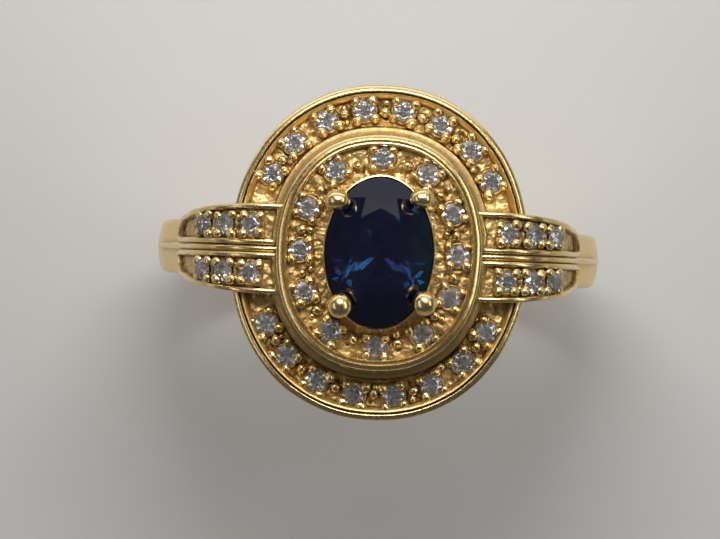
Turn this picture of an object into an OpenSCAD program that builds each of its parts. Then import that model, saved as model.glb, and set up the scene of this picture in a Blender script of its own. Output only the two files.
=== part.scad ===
// Two-tier oval cluster ring in yellow gold.
// The origin is the centre of the finger hole. +Y runs along the finger and +Z points up through
// the head of the ring, so the stones face +Z. Left is -X, upper is +Y.

/* [Finger band] */
// Inner diameter of the band
finger_d = 18; // [16:0.1:20]
// Thickness of the band at the sides and the palm side
band_wall = 1.7; // [1.5:0.05:2]
// Width of the band where it meets the head
shoulder_w = 4.2; // [4:0.1:4.6]
// Width of the band at the palm side
palm_w = 2.3; // [2:0.1:2.8]
// Diameter of the light hole through the band under the centre stone
light_hole_d = 2.8; // [2:0.1:3.4]

/* [Outer halo] */
// Size of the outer plate across the finger
outer_x = 13.9; // [13.4:0.1:14.2]
// Size of the outer plate along the finger
outer_y = 15.6; // [15:0.1:16]
// Height from the finger hole's top to the plate's face
outer_face_rise = 2.75; // [2.5:0.05:3]
// Stones in each arc of the outer plate
outer_arc_stones = 8; // [6:1:8]
// Angle between neighbouring stones of an outer arc
outer_stone_step = 15.9; // [15:0.1:16]

/* [Inner halo] */
// Size of the inner plate's rim across the finger
inner_x = 9.4; // [9.2:0.1:9.6]
// Size of the inner plate's rim along the finger
inner_y = 10.8; // [10.6:0.1:11]
// Height of the inner plate's rim above the outer plate's face
inner_rise = 2; // [1.8:0.1:2.4]
// Stones around the inner plate
inner_stones = 12; // [10:1:12]

/* [Stones] */
// Length of the centre stone along the finger
centre_l = 7; // [6.6:0.1:7.2]
// Width of the centre stone across the finger
centre_w = 5; // [4.8:0.1:5.2]
// Height of the centre stone's girdle above the inner plate's face
centre_rise = 1.1; // [1:0.05:1.3]
// Diameter of the small stones
melee_d = 1.05; // [0.9:0.05:1.1]
// Diameter of a claw's ball tip
claw_ball_d = 1.1; // [1:0.05:1.2]
// Angle by which the four claws are turned from the stone's axes
claw_turn = 3.5; // [0:0.5:4]
// Radius of a raised grain that holds a small stone
grain_r = 0.19; // [0.16:0.01:0.2]

/* [Shoulders] */
// Height of the shoulder bars' edges above the outer plate's face
bar_h = 0.85; // [0.7:0.05:1]
// Radius of the bend where a bar turns down the band
bend_r = 3.85; // [3.6:0.05:4.1]
// Width of the rib between the two bars of a shoulder
rib_w = 0.32; // [0.25:0.01:0.4]
// Width of a bar's raised edge
edge_w = 0.22; // [0.18:0.01:0.26]

/* [Hidden] */
// Names, one node for each physical piece.
sides = ["left", "right"];
rows = ["upper", "lower"];
bar_stones = 3;
claw_names = ["left_upper_claw", "right_upper_claw", "left_lower_claw", "right_lower_claw"];
function bar_name(side, row) = str(side, "_", row, "_shoulder_bar");
function outer_stone_name(row, i) = str(row, "_arc_diamond_", i + 1);
function inner_stone_name(i) = str("inner_halo_diamond_", i + 1);
function bar_stone_name(side, row, i) = str(side, "_", row, "_bar_diamond_", i + 1);

// Resolution of round parts, of the ovals, of the finger hole and of the grains.
$fn = 48;
oval_points = 72;
finger_hole_facets = 96;
grain_facets = 24;
// How far a cutter reaches past the face that it cuts.
over = 1;

// Roundness of the two plates' outlines: 2 is an ellipse, more is squarer.
outer_round = 2.12;
inner_round = 2.2;

// Half sizes of the ovals.
outer_half = [outer_x, outer_y] / 2;
inner_half = [inner_x, inner_y] / 2;
centre_half = [centre_w, centre_l] / 2;

// Levels of the two plates, their thicknesses, and the wall between them.
finger_r = finger_d / 2;
band_r = finger_r + band_wall;
outer_face = finger_r + outer_face_rise;
outer_plate_t = 0.85;
outer_back = outer_face - outer_plate_t;
inner_top = outer_face + inner_rise;
inner_face_drop = 0.42;
inner_face = inner_top - inner_face_drop;
inner_plate_t = 0.75;
inner_back = inner_face - inner_plate_t;
collar_t = 0.5;
collar_lap = 0.15;
collar_top = inner_back + collar_lap;
collar_foot_w = 0.06;
collar_foot_h = 0.1;
girdle_z = inner_face + centre_rise;

// Edge wall of the outer plate, bevelled outwards at the top.
rim_w = 0.32;
rim_h = 1.65;
rim_rise = 0.3;
rim_top = outer_face + rim_rise;
rim_bottom = rim_top - rim_h;
rim_bevel_w = 0.24;
rim_bevel_h = 0.16;
rim_soft = 0.04;

// Rim of the inner plate: a bevelled wire that swells past the collar, a groove and a thin line.
wire_flare = 0.06;
wire_w = 0.27;
wire_h = 0.3;
wire_bevel_w = 0.22;
wire_bevel_h = 0.14;
wire_soft = 0.04;
groove_w = 0.08;
groove_depth = 0.17;
line_w = 0.15;
line_drop = 0.08;
line_soft = 0.03;

// Wall under the outer plate: its place inside the plate's edge, and its clearance over the finger.
gallery_inset = 1.6;
gallery_t = 0.55;
gallery_lift = 0.5;

// Rows of small stones: half sizes of the ovals that their centres lie on.
outer_row = outer_half - [1.05, 1.12];
inner_row = inner_half - [1.04, 1.02];

// Small stone: proportions of its diameter, and how far its girdle sits below the metal's face.
melee_r = melee_d / 2;
melee_crown = 0.16;
melee_girdle = 0.04;
melee_pavilion = 0.4;
melee_table = 0.56;
melee_sink = 0.02;

// Seat of a small stone: clearances round and under the stone, and the hole through the back.
seat_gap = 0.015;
seat_floor_gap = 0.02;
seat_h = (melee_pavilion + melee_girdle) * melee_d + melee_sink + seat_floor_gap;
seat_back_r = melee_r * 0.62;
seat_back_depth = 3;

// Grains: how far outside the stone and how high their centres sit, as shares of their radius.
grain_out = 0.75;
grain_lift = 0.2;

// Facet corners shared by all the cut stones, as shares of their size.
star_shift = 0.05;
star_height = 0.56;
lower_reach = 0.62;
lower_depth = 0.44;

// Centre stone: table as a share of its outline, and heights.
centre_table = 0.6;
centre_crown = 0.85;
centre_girdle = 0.12;
centre_pavilion = 2.1;

// Collet: a foot below the inner plate, and a lip under the centre stone's girdle.
collet_inset = 0.42;
collet_half = grown(centre_half, -collet_inset);
collet_foot_w = 0.4;
collet_foot_h = 0.3;
collet_taper = 0.35;
collet_shoulder_h = 0.05;
lip_reach = 0.5;
lip_w = 0.14;
lip_h = 0.06;
lip_z = girdle_z - 0.12;
cone_w = 0.66;
cone_h = 0.6;

// Claws: their places as shares of the centre stone's size, and the ball's height over the girdle.
claw_place = [centre_w * 0.39, centre_l * 0.346];
claw_shift = [0.09, 0.045];
claw_r = 0.4;
claw_ball_rise = 0.52;
claw_gap = 0.005;
notch_gap = 0.01;

// Shoulder: the bars bend about this point in the XZ plane and then run straight down the band.
bend_inset = 1.75;
bend_x = outer_half.x - bend_inset;
bar_top = outer_face + bar_h;
bend_z = bar_top - bend_r;
base_r = bend_r - bar_h;
base_reach = band_r - base_r;
bend_dist = norm([bend_x, bend_z]);
base_end = atan2(bend_x, bend_z) + acos(base_reach / bend_dist);
bar_end_drop = 2.8;
bar_end_z = finger_r - bar_end_drop;
bar_end_t = 0.42;
bar_end_slope = 0.6;
bar_tip_h = 1;
bar_root = 0.6;
bar_inner_x = inner_half.x - bar_root;
bar_end_x = (band_r - bar_end_z * cos(base_end)) / sin(base_end) + bar_end_t;
end_reach = norm([bar_end_x - bend_x, bar_end_z - bend_z]);
end_angle = atan2(bar_end_x - bend_x, bar_end_z - bend_z);
bar_bend = end_angle - acos(bend_r / end_reach);
panel_drop = 0.15;
bar_gap = 0.02;
head_gap = 0.07;
rib_drop = 0.06;
rib_tail_steps = 5;

// Stones on a bar: turn of the first, turn between neighbours, distance from the rib's middle, and the
// share of that distance by which each one creeps inwards.
bar_stone_turn = 12;
bar_stone_step = 20.5;
bar_stone_y = 1.12;
bar_stone_creep = 0.03;

// Band seen along X: its width where the bars end, and the curves of its sides above and below that.
bar_end_w = shoulder_w * 0.666;
shoulder_curve = 1.6;
palm_curve = 2;
band_steps = 20;

// Colours.
gold = "#d9a441";
bright_gold = "#e6b95c";
sapphire_blue = "#16245e";
diamond_white = "#e8edf2";

// Point of a superellipse in the direction t, in degrees.
function oval_radius(half, round, t) =
    pow(pow(abs(cos(t)) / half.x, round) + pow(abs(sin(t)) / half.y, round), -1 / round);
function oval_point(half, round, t) =
    oval_radius(half, round, t) * [cos(t), sin(t)];
function grown(half, by) = half + [by, by];
function arc(centre, r, from, to, steps) = [
    for (i = [0 : steps])
        let (t = from + (to - from) * i / steps)
            centre + r * [sin(t), cos(t)]
];

module oval(half, round) {
    polygon([for (i = [0 : oval_points - 1]) oval_point(half, round, i * 360 / oval_points)]);
}

module oval_plate(half, round, from, to) {
    translate([0, 0, from])
        linear_extrude(to - from)
            oval(half, round);
}

// A closed ring with the same section all round an oval. Each section point is [growth, height].
module oval_ring(half, round, section) {
    count = len(section);
    points = [
        for (i = [0 : oval_points - 1], p = section)
            let (q = oval_point(grown(half, p.x), round, i * 360 / oval_points))
                [q.x, q.y, p.y]
    ];
    faces = [
        for (i = [0 : oval_points - 1], j = [0 : count - 1])
            let (k = (i + 1) % oval_points, l = (j + 1) % count)
                each [
                    [i * count + j, k * count + l, k * count + j],
                    [i * count + j, i * count + l, k * count + l]
                ]
    ];
    polyhedron(points, faces);
}

// A brilliant-cut stone with eight-fold facets. half is its outline, and heights are from the girdle.
module gem(half, table, crown, girdle, pavilion) {
    function ring(size, z, n, turn) = [
        for (i = [0 : n - 1])
            let (t = turn + i * 360 / n)
                [half.x * size * cos(t), half.y * size * sin(t), z]
    ];
    star_reach = (1 + table) / 2 + star_shift;
    points = concat(
        ring(table, crown, 8, 0),
        ring(star_reach, crown * star_height, 8, 22.5),
        ring(1, girdle / 2, 16, 0),
        ring(1, -girdle / 2, 16, 0),
        ring(lower_reach, -girdle / 2 - pavilion * lower_depth, 8, 22.5),
        [[0, 0, -girdle / 2 - pavilion]]
    );
    top = 8;
    up = 16;
    down = 32;
    low = 48;
    culet = 56;
    faces = concat(
        [[for (i = [0 : 7]) 7 - i]],
        [for (i = [0 : 7]) let (k = (i + 1) % 8, b = (i + 7) % 8)
            each [
                [i, k, top + i],
                [i, up + 2 * i, top + b],
                [i, top + i, up + 2 * i],
                [top + i, up + 2 * i + 1, up + 2 * i],
                [top + i, up + (2 * i + 2) % 16, up + 2 * i + 1],
                [low + i, down + 2 * i, down + 2 * i + 1],
                [low + i, down + 2 * i + 1, down + (2 * i + 2) % 16],
                [culet, down + 2 * i, low + i],
                [culet, low + b, down + 2 * i]
            ]],
        [for (i = [0 : 15]) let (k = (i + 1) % 16)
            each [
                [up + i, up + k, down + k],
                [up + i, down + k, down + i]
            ]]
    );
    polyhedron(points, faces);
}

module melee() {
    color(diamond_white)
        gem([melee_r, melee_r], melee_table, melee_crown * melee_d, melee_girdle * melee_d,
            melee_pavilion * melee_d);
}

// The hole that a small stone sits in: a seat for the girdle and a narrower hole through the back.
module stone_seat() {
    translate([0, 0, -seat_h])
        cylinder(r = melee_r + seat_gap, h = seat_h + over);
    translate([0, 0, -seat_back_depth])
        cylinder(r = seat_back_r, h = seat_back_depth);
}

// The four grains around a small stone, pushed over its edge.
module stone_grains() {
    for (i = [0 : 3])
        rotate([0, 0, 45 + 90 * i])
            translate([melee_r + grain_r * grain_out, 0, grain_r * grain_lift])
                sphere(r = grain_r, $fn = grain_facets);
}

// Places of the stones on the two plates: centre on the oval, turned along it.
module at_outer_stone(row, i) {
    t = (row == "upper" ? 90 : -90) + (i - (outer_arc_stones - 1) / 2) * outer_stone_step;
    p = oval_point(outer_row, outer_round, t);
    translate([p.x, p.y, outer_face])
        rotate([0, 0, t])
            children();
}

module at_inner_stone(i) {
    t = i * 360 / inner_stones;
    p = oval_point(inner_row, inner_round, t);
    translate([p.x, p.y, inner_face])
        rotate([0, 0, t])
            children();
}

// Places of the stones on a bar, square to the bend's surface.
module at_bar_stone(side, row, i) {
    turn = bar_stone_turn + bar_stone_step * i;
    mirror([side == "left" ? 1 : 0, 0, 0])
        translate([bend_x, (row == "upper" ? 1 : -1) * bar_stone_y * (1 - bar_stone_creep * i), bend_z])
            rotate([0, turn, 0])
                translate([0, 0, bend_r - panel_drop])
                    children();
}

// Outlines of the shoulder in the XZ plane, as [x, z] points on the right side.
band_side = arc([0, 0], band_r, base_end, 180, 24);
base_line = concat(arc([bend_x, bend_z], base_r, 0, base_end, 14), band_side);
function bar_line(drop) = concat(
    arc([bend_x, bend_z], bend_r - drop, 0, bar_bend, 16),
    [[bar_end_x - drop * bar_end_slope, bar_end_z]]
);
bar_under = [for (p = base_line) if (p.y > bar_end_z && p.x > bend_x) p];
bar_under_end = [bar_end_x - bar_end_t, bar_end_z];

module shoulder_outline(drop) {
    polygon(concat(
        [[bar_inner_x, bar_top - drop]],
        bar_line(drop),
        [bar_under_end],
        [for (i = [len(bar_under) - 1 : -1 : 0]) bar_under[i]],
        [[bar_inner_x, outer_face]]
    ));
}

// Half width of the band at a height, from the palm side up to the head.
function flared(narrow, wide, share, curve) = narrow + (wide - narrow) * pow(share, curve);
function band_half(z) = z > bar_end_z
    ? flared(bar_end_w, shoulder_w, (z - bar_end_z) / (bar_top - bar_end_z), shoulder_curve) / 2
    : flared(palm_w, bar_end_w, (z + band_r) / (bar_end_z + band_r), palm_curve) / 2;
band_levels = [for (i = [0 : band_steps]) -band_r + i * (bar_top + band_r) / band_steps];

module band_front() {
    polygon(concat(
        [for (z = band_levels) [band_half(z), z]],
        [for (i = [band_steps : -1 : 0]) [-band_half(band_levels[i]), band_levels[i]]]
    ));
}

module along_finger(w) {
    rotate([90, 0, 0])
        linear_extrude(w, center = true)
            children();
}

module across_finger(w) {
    rotate([90, 0, 90])
        linear_extrude(w, center = true)
            children();
}

module finger_hole(extra) {
    rotate([90, 0, 0])
        cylinder(r = finger_r + extra, h = 2 * outer_y, center = true, $fn = finger_hole_facets);
}

// Cutter for the space that the outer plate and its rim fill.
module outer_tray_space() {
    oval_plate(outer_half, outer_round, outer_back, outer_face);
    difference() {
        oval_plate(outer_half, outer_round, rim_bottom, outer_back);
        oval_plate(grown(outer_half, -rim_w), outer_round, rim_bottom - over, outer_back + over);
    }
}

// The band: one casting with its two shoulders and the bridge under the head.
module shank() {
    color(gold)
        difference() {
            intersection() {
                along_finger(shoulder_w)
                    polygon(concat(
                        base_line,
                        [for (i = [len(base_line) - 1 : -1 : 0]) [-base_line[i].x, base_line[i].y]]
                    ));
                across_finger(3 * band_r)
                    band_front();
            }
            finger_hole(0);
            outer_tray_space();
            translate([0, 0, outer_back])
                linear_extrude(outer_plate_t + over)
                    square([inner_x, shoulder_w + over], center = true);
            cylinder(d = light_hole_d, h = outer_face);
        }
}

// The wall under the outer plate, cut to the finger's curve, on one side of the band.
module gallery(row) {
    wall = grown(outer_half, -gallery_inset);
    color(gold)
        difference() {
            oval_plate(wall, outer_round, finger_r / 2, outer_back);
            oval_plate(grown(wall, -gallery_t), outer_round, 0, outer_back + over);
            finger_hole(gallery_lift);
            across_finger(2 * outer_x)
                band_front();
            translate([0, row == "upper" ? -outer_y : outer_y, band_r])
                cube(2 * [outer_x, outer_y, band_r], center = true);
        }
}

module outer_halo_plate() {
    color(gold) {
        difference() {
            oval_plate(grown(outer_half, -rim_w), outer_round, outer_back, outer_face);
            oval_plate(grown(inner_half, -collar_t), inner_round, outer_back - over, outer_face + over);
            for (row = rows, i = [0 : outer_arc_stones - 1])
                at_outer_stone(row, i)
                    stone_seat();
        }
        for (row = rows, i = [0 : outer_arc_stones - 1])
            at_outer_stone(row, i)
                stone_grains();
    }
}

module outer_halo_rim() {
    color(bright_gold)
        difference() {
            oval_ring(outer_half, outer_round, [
                [-rim_w, rim_bottom],
                [0, rim_bottom],
                [0, rim_top - rim_bevel_h],
                [-rim_bevel_w, rim_top],
                [-rim_w + rim_soft, rim_top],
                [-rim_w, rim_top - rim_soft]
            ]);
            translate([-outer_x, -shoulder_w / 2 - bar_gap, outer_face])
                cube([2 * outer_x, shoulder_w + 2 * bar_gap, rim_rise + over]);
        }
}

module halo_collar() {
    color(gold)
        oval_ring(inner_half, inner_round, [
            [-collar_t, outer_face],
            [collar_foot_w, outer_face],
            [0, outer_face + collar_foot_h],
            [0, collar_top],
            [-collar_t, collar_top]
        ]);
}

module inner_halo_rim() {
    wire_in = wire_flare - wire_w;
    line_out = wire_in - groove_w;
    line_in = line_out - line_w;
    line_top = inner_top - line_drop;
    color(bright_gold)
        oval_ring(inner_half, inner_round, [
            [-collar_t, collar_top],
            [0, collar_top],
            [wire_flare, inner_top - wire_h],
            [wire_flare, inner_top - wire_bevel_h],
            [wire_flare - wire_bevel_w, inner_top],
            [wire_in + wire_soft, inner_top],
            [wire_in, inner_top - wire_soft],
            [line_out + groove_w / 2, inner_top - groove_depth],
            [line_out, line_top - line_soft],
            [line_out - line_soft, line_top],
            [line_in + line_soft, line_top],
            [line_in, line_top - line_soft],
            [-collar_t, inner_top - groove_depth]
        ]);
}

module inner_halo_plate() {
    color(gold) {
        difference() {
            oval_plate(grown(inner_half, -collar_t), inner_round, inner_back, inner_face);
            oval_plate(collet_half, 2, inner_back - over, inner_face + over);
            for (i = [0 : inner_stones - 1])
                at_inner_stone(i)
                    stone_seat();
        }
        for (i = [0 : inner_stones - 1])
            at_inner_stone(i)
                stone_grains();
    }
}

// The tapered oval ring that carries the centre stone.
module centre_collet() {
    color(gold)
        difference() {
            oval_ring(collet_half, 2, [
                [-collet_taper - collet_foot_w, inner_back - collet_foot_h],
                [-collet_taper, inner_back - collet_foot_h],
                [0, inner_back],
                [0, inner_face + collet_shoulder_h],
                [lip_reach, lip_z],
                [lip_reach - lip_h, lip_z + lip_h],
                [lip_reach - lip_w, lip_z],
                [lip_reach - lip_w - cone_w, lip_z - cone_h]
            ]);
            at_claws()
                translate([0, 0, inner_face])
                    cylinder(r = claw_r + claw_gap, h = centre_rise);
        }
}

module sapphire() {
    color(sapphire_blue)
        translate([0, 0, girdle_z])
            gem(centre_half, centre_table, centre_crown, centre_girdle, centre_pavilion);
}

// The claws' four places around the centre stone, or only the one that index names.
module at_claws(index = -1) {
    for (i = [0 : 3])
        if (index < 0 || i == index)
            translate(claw_shift)
                rotate([0, 0, claw_turn])
                    translate([(i % 2 == 0 ? -1 : 1) * claw_place.x, (i < 2 ? 1 : -1) * claw_place.y, 0])
                        children();
}

// A claw: a wire on the inner plate, notched for the girdle, with a ball over the crown.
module claw(index) {
    ball_r = claw_ball_d / 2;
    ball_z = girdle_z + claw_ball_rise;
    color(bright_gold)
        difference() {
            at_claws(index)
                rotate_extrude()
                    union() {
                        translate([0, inner_face])
                            square([claw_r, ball_z - inner_face]);
                        intersection() {
                            translate([0, ball_z])
                                circle(r = ball_r);
                            translate([0, ball_z - ball_r])
                                square(2 * ball_r);
                        }
                    }
            translate([0, 0, girdle_z])
                gem(
                    grown(centre_half, notch_gap), centre_table,
                    centre_crown, centre_girdle, centre_pavilion
                );
        }
}

// Cut the inner end of a shoulder piece to the collar and its outer part to the plate.
module fitted_to_head() {
    difference() {
        children();
        oval_plate(grown(inner_half, head_gap), inner_round, outer_face - over, inner_top);
        oval_plate(outer_half, outer_round, outer_back, outer_face);
    }
}

// The rib lies between the bars and then thins out down the side of the band.
module shoulder_rib(side) {
    under_tail = [for (i = [0 : rib_tail_steps]) band_side[i]];
    over_tail = [
        for (i = [0 : rib_tail_steps - 1])
            band_side[i] * (1 + bar_end_t / band_r * (1 - i / rib_tail_steps))
    ];
    color(bright_gold)
        mirror([side == "left" ? 1 : 0, 0, 0])
            fitted_to_head()
                along_finger(rib_w) {
                    shoulder_outline(rib_drop);
                    polygon(concat(
                        [bar_under_end, [bar_end_x - rib_drop, bar_end_z]],
                        over_tail,
                        [for (i = [rib_tail_steps : -1 : 0]) under_tail[i]]
                    ));
                }
}

// Outline of a bar seen along X: tapered with the band, and round at its lower end.
module bar_front() {
    inner = rib_w / 2 + bar_gap;
    end_half = band_half(bar_end_z + bar_tip_h);
    end_r = (end_half - inner) / 2;
    intersection() {
        band_front();
        union() {
            translate([inner, bar_end_z + end_r])
                square([shoulder_w, bar_h + 2 * finger_r]);
            translate([inner + end_r, bar_end_z + end_r])
                circle(r = end_r);
        }
    }
}

// A bar on the right side above the rib: a sunk panel inside a raised edge.
module plain_bar() {
    inner = rib_w / 2 + bar_gap;
    wide = shoulder_w / 2 - inner;
    module strip(from, w, drop) {
        translate([0, from + w / 2, 0])
            along_finger(w)
                shoulder_outline(drop);
    }
    fitted_to_head()
        intersection() {
            union() {
                strip(inner, wide, panel_drop);
                strip(inner, edge_w, 0);
                strip(shoulder_w / 2 - edge_w, edge_w, 0);
                intersection() {
                    strip(inner, wide, 0);
                    union() {
                        translate([0, 0, finger_r])
                            cube([inner_half.x + edge_w + head_gap, shoulder_w, outer_face]);
                        cube([2 * outer_x, shoulder_w, bar_end_z + edge_w]);
                    }
                }
            }
            across_finger(3 * band_r)
                bar_front();
        }
}

module shoulder_bar(side, row) {
    color(gold) {
        difference() {
            mirror([side == "left" ? 1 : 0, 0, 0])
                mirror([0, row == "lower" ? 1 : 0, 0])
                    plain_bar();
            for (i = [0 : bar_stones - 1])
                at_bar_stone(side, row, i)
                    stone_seat();
        }
        for (i = [0 : bar_stones - 1])
            at_bar_stone(side, row, i)
                stone_grains();
    }
}

shank();
gallery("upper");  // gallery_upper
gallery("lower");  // gallery_lower
outer_halo_plate();
outer_halo_rim();
halo_collar();
inner_halo_plate();
inner_halo_rim();
centre_collet();
sapphire();
for (i = [0 : 3])
    claw(i);
for (side = sides)
    shoulder_rib(side);
for (side = sides, row = rows)
    shoulder_bar(side, row);
for (row = rows, i = [0 : outer_arc_stones - 1])
    at_outer_stone(row, i)
            translate([0, 0, -melee_sink])
                melee();
for (i = [0 : inner_stones - 1])
    at_inner_stone(i)
            translate([0, 0, -melee_sink])
                melee();
for (side = sides, row = rows, i = [0 : bar_stones - 1])
    at_bar_stone(side, row, i)
            translate([0, 0, -melee_sink])
                melee();
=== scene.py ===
"""Looks of the two-tier oval cluster ring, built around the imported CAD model.

The row frame has its origin at the centre of the finger hole, +Y along the finger and +Z out through
the head. Lengths in this script are in millimetres, and MM turns them into Blender's metres.
"""

import random
from math import acos, asin, atan2, cos, hypot, pi, radians, sin, sqrt

import bpy
import numpy as np
from mathutils import Matrix, Vector, noise


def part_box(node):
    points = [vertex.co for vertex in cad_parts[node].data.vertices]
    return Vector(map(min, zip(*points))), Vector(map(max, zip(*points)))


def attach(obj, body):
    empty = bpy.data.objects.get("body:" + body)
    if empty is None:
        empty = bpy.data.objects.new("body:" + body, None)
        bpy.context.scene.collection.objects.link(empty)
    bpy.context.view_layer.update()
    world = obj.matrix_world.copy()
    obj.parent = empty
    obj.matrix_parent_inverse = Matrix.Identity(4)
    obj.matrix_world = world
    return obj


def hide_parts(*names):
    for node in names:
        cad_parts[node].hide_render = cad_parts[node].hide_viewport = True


MM = 0.001
SEED = 27
SIDES = {"left": -1, "right": 1}
ROWS = {"upper": 1, "lower": -1}

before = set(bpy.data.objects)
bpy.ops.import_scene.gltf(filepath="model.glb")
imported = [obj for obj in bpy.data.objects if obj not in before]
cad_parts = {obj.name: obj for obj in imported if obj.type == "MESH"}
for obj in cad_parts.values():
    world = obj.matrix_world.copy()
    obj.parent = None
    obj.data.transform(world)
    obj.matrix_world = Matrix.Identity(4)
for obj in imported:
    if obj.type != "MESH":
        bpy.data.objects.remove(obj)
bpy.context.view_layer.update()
rng = random.Random(SEED)
# Unless it is seeded, noise_vector takes its offsets from the clock.
noise.seed_set(SEED)


# ---- sizes, read from the CAD nodes


def low(node):
    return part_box(node)[0] / MM


def high(node):
    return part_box(node)[1] / MM


def middle(node):
    return (low(node) + high(node)) / 2


# The step between faces of neighbouring pieces that would otherwise lie in one plane.
STEP = 0.02

# Levels from the finger hole's centre.
FINGER_R = 9.0
BAND_R = -low("shank").z
FACE = low("halo_collar").z
BACK = low("outer_halo_plate").z
RIM_BOTTOM = low("outer_halo_rim").z
RIM_TOP = high("outer_halo_rim").z
COLLAR_TOP = high("halo_collar").z
INNER_BACK = low("inner_halo_plate").z
INNER_TOP = high("inner_halo_rim").z
INNER_PLATE_T = 0.75
INNER_FACE = INNER_BACK + INNER_PLATE_T
BAR_TOP = high("right_upper_shoulder_bar").z
BAR_END_Z = low("right_upper_shoulder_bar").z

# Outlines: half sizes of the two plates' ovals and their roundness, where 2 is an ellipse.
RIM_FLARE = 0.06
OUTER = (high("outer_halo_rim").x, high("outer_halo_rim").y)
INNER = (high("inner_halo_rim").x - RIM_FLARE, high("inner_halo_rim").y - RIM_FLARE)
OUTER_ROUND = 2.12
INNER_ROUND = 2.2
RIM_W = 0.32
COLLAR_T = 0.5

# The bevel on the outside of both wires, which starts its foot's height below their tops.
BEVEL_R = 0.455
BEVEL_FROM = radians(42)
BEVEL_TO = radians(75)
BEVEL_STEPS = 7
BEVEL_FOOT = 0.18

# The centre stone and its claws.
STONE = high("sapphire")
STONE_PAVILION = 2.1
STONE_GIRDLE = 0.12
GIRDLE_Z = low("sapphire").z + STONE_PAVILION + STONE_GIRDLE / 2
STONE_CROWN = STONE.z - GIRDLE_Z - STONE_GIRDLE / 2
CUP_INSET = 0.42
CLAW_BALL_R = 0.55

# The small stones, with their proportions as shares of their diameter and their tilt in degrees.
MELEE_R = 0.525
MELEE_CROWN = 0.16
MELEE_GIRDLE = 0.04
MELEE_PAVILION = 0.4
MELEE_TABLE = 0.56
MELEE_TILT = 3

# A stone's seat: a lip round the stone, and a bowl that narrows to a floor.
LIP_FROM = 0.17
LIP_TO = 0.05
LIP_DROP = 0.03
BOWL_DROP = 0.08
BOWL_DEPTH = 0.42
BOWL_TOP_R = MELEE_R - 0.02
BOWL_FLOOR_R = 0.25
BOWL_EDGE = 0.03
# The bowl under each stone is painted darker, a painted shade under the stone.
BOWL_SHADE = 0.5

# The pits between the stones: their depth, how much painted shade they hold, and where that painted shade
# starts and is full.
PIT_DEPTH = 0.12
PIT_SHADE_STRENGTH = 0.9
PIT_SHADE = (0.25, 0.9)

# The grains' radius and largest random turn, and the rough surface's depth below the stones' level.
GRAIN_R = 0.25
GRAIN_TURN = 0.09
TRENCH = 0.2

# The plates: points across their grids, the cove along the collar, and the counts of stones.
PLATE_ACROSS = 56
COVE_R = 0.5
ARC_STONES = 8
INNER_STONES = 12

# Half widths of the band at the head, where the bars end and at the palm side, and the powers by
# which it widens towards the head.
HEAD_HALF = 2.1
BAR_END_HALF = HEAD_HALF * 0.666
PALM_HALF = 1.15
HEAD_CURVE = 1.6
PALM_CURVE = 2

# The shoulders' outline in the XZ plane, on the right side: a bend about one point, then straight down.
BEND_R = 3.85
BEND_INSET = 1.75
BAR_H = BAR_TOP - FACE
BASE_R = BEND_R - BAR_H
BEND_X = OUTER[0] - BEND_INSET
BEND_Z = BAR_TOP - BEND_R
BASE_END = atan2(BEND_X, BEND_Z) + acos((BAND_R - BASE_R) / hypot(BEND_X, BEND_Z))
BAR_END_T = 0.42
BAR_END_X = (BAND_R - BAR_END_Z * cos(BASE_END)) / sin(BASE_END) + BAR_END_T
BAR_END_TURN = atan2(BAR_END_X, BAR_END_Z)
END_REACH = hypot(BAR_END_X - BEND_X, BAR_END_Z - BEND_Z)
BEND_TURN = atan2(BAR_END_X - BEND_X, BAR_END_Z - BEND_Z) - acos(BEND_R / END_REACH)

# Lengths along a bar's top from the collar: its flat start, its bend and the whole.
PATH_START = INNER[0] + STEP
PATH_FLAT = BEND_X - PATH_START
PATH_BEND = BEND_R * BEND_TURN
PATH_LENGTH = PATH_FLAT + PATH_BEND + sqrt(END_REACH**2 - BEND_R**2)

# The bars: their stones, the rib between them, and the level of their panels below their edges.
BAR_ALONG, BAR_ACROSS = 190, 44
COLLAR_GAP = 0.03
BAR_STONES = 3
BAR_STONE_TURN = radians(12)
BAR_STONE_STEP = radians(20.5)
RIB_W = 0.32
RIB_DROP = 0.06
BAR_INNER = RIB_W / 2 + STEP
BAR_OUTER = 2.08
BAR_TIP = 1.5
PANEL_DROP = 0.15


# ---- small tools


def oval_radius(half, power, t):
    return ((abs(np.cos(t)) / half[0]) ** power + (abs(np.sin(t)) / half[1]) ** power) ** (-1 / power)


def grown(half, by):
    return half[0] + by, half[1] + by


def smooth(from_x, to_x, x):
    """A soft step from 0 at from_x to 1 at to_x, which may be the lower one."""
    s = np.clip((x - from_x) / (to_x - from_x), 0, 1)
    return s * s * (3 - 2 * s)


def clouds(points, size, seed):
    """Smooth noise from -1 to 1 at each point, with features of about that size."""
    shift = Vector((seed * 7.3, seed * 3.1, seed * 5.7))
    return np.array([noise.noise(Vector(p) / size + shift) for p in points])


def unevenness(points, amount, size, seed):
    """Shifts points by a smooth vector noise, the slight waviness of hand-finished metal."""
    shift = Vector((seed * 3.7, seed * 9.1, seed * 1.3))
    return [Vector(p) + amount * noise.noise_vector(Vector(p) / size + shift) for p in points]


def add_piece(name, points, faces, materials, nodes, sharp=40, recess=None, indices=None):
    """One piece of the ring from points in millimetres, standing for the CAD nodes it replaces."""
    mesh = bpy.data.meshes.new(name)
    mesh.from_pydata([tuple(Vector(p) * MM) for p in points], [], faces)
    for material in materials:
        mesh.materials.append(material)
    if indices is not None:
        mesh.polygons.foreach_set("material_index", indices)
    if recess is not None:
        mesh.attributes.new("recess", "FLOAT", "POINT").data.foreach_set("value", recess)
    mesh.update()
    mesh.shade_smooth()
    mesh.set_sharp_from_angle(angle=radians(sharp))
    piece = bpy.data.objects.new(name, mesh)
    bpy.context.scene.collection.objects.link(piece)
    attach(piece, "root")
    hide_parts(*nodes)


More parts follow.
